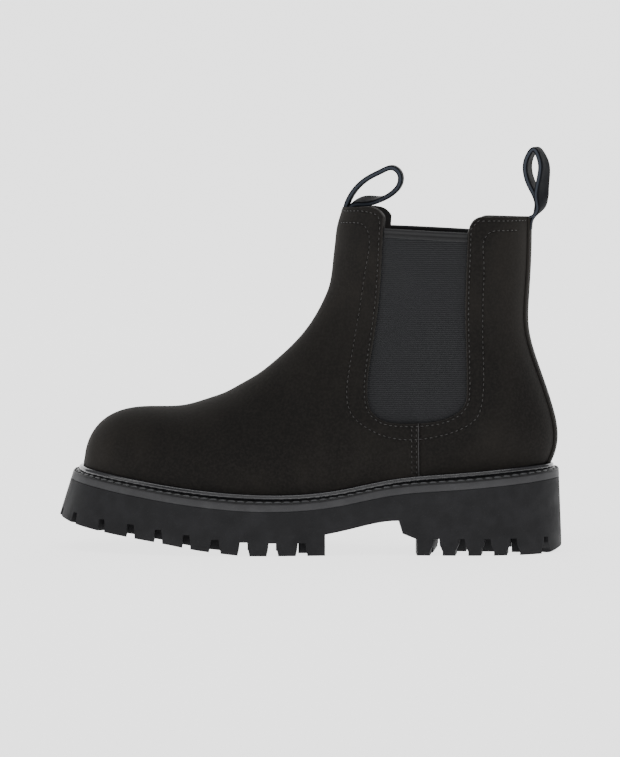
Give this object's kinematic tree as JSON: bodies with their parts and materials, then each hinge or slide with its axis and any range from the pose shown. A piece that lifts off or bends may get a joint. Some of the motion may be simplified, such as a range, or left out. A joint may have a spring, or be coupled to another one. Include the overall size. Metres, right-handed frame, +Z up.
{
  "type": "chelsea boot",
  "caption": "Left ankle boot with a tall lugged sole, rounded toe, elastic side panels and a pull loop at the front and the back of the collar.",
  "frame": {"origin": "on the floor, in the middle of the boot's footprint", "axes": "-X to the toe, +X to the heel, -Y to the outer side of the foot, +Y to the inner side, +Z up"},
  "size_m": [0.2939, 0.1089, 0.2342],
  "materials": {
    "nubuck": "matte black nubuck",
    "strap_leather": "smooth black leather with painted edges",
    "lining_leather": "black lining leather",
    "elastic": "ribbed black elastic webbing",
    "tape": "woven black binding tape",
    "stiffener": "thermoplastic stiffener sheet",
    "interlining": "bonded cotton interlining",
    "welt_rubber": "semi-gloss black rubber",
    "thread": "waxed black thread",
    "midsole_rubber": "dark grey rubber",
    "outsole_rubber": "matte black rubber",
    "filler": "cork and rubber filler",
    "board": "cellulose insole board",
    "steel": "spring steel",
    "sock": "leather covered foam"
  },
  "bodies": {
    "root": {"vamp": "nubuck", "quarter_lateral": "nubuck", "quarter_medial": "nubuck", "back_strip": "strap_leather", "front_strap_tail": "strap_leather", "gore_lateral": "elastic", "gore_medial": "elastic", "gore_binding_lateral": "tape", "gore_binding_medial": "tape", "toe_puff": "stiffener", "heel_counter": "stiffener", "vamp_interlining": "interlining", "quarter_interlining": "interlining", "vamp_lining": "lining_leather", "quarter_lining": "lining_leather", "welt": "welt_rubber", "welt_thread": "thread", "midsole": "midsole_rubber", "outsole": "outsole_rubber", "bottom_filler": "filler", "insole_board": "board", "shank": "steel", "shank_rivets": "steel", "footbed": "sock"},
    "front_loop": {"front_pull_loop": "strap_leather"},
    "back_loop": {"back_pull_loop": "strap_leather"}
  },
  "joints": [
    {"name": "front_loop_flop", "type": "hinge", "parent": "root", "child": "front_loop", "pos_m": [0.0206, 0, 0.2005], "axis": [0, -1, 0], "range_deg": [-6, 60]},
    {"name": "back_loop_flop", "type": "hinge", "parent": "root", "child": "back_loop", "pos_m": [0.1298, 0, 0.1962], "axis": [0, 1, 0], "range_deg": [-30, 35]}
  ]
}
